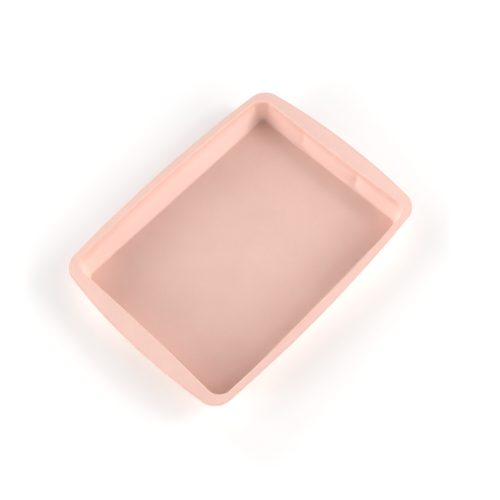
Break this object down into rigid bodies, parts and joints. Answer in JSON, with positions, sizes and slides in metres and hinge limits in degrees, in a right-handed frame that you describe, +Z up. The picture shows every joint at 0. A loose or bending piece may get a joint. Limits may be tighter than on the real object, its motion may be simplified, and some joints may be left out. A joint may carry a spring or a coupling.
{
  "type": "silicone soap slab mould",
  "caption": "Shallow rectangular soap mould in soft pink silicone, with leaning walls, rounded corners and a flat rim that bows out into a grip at each end.",
  "frame": {"origin": "middle of the flat underside, where the tray rests", "axes": "+X along the length, towards one end grip; +Y across the width; +Z up, out of the cavity's mouth"},
  "size_m": [0.3, 0.222, 0.0345],
  "materials": {
    "silicone": "matt to satin, soft pink silicone"
  },
  "bodies": {
    "root": {"mould_tray": "silicone"}
  },
  "joints": []
}
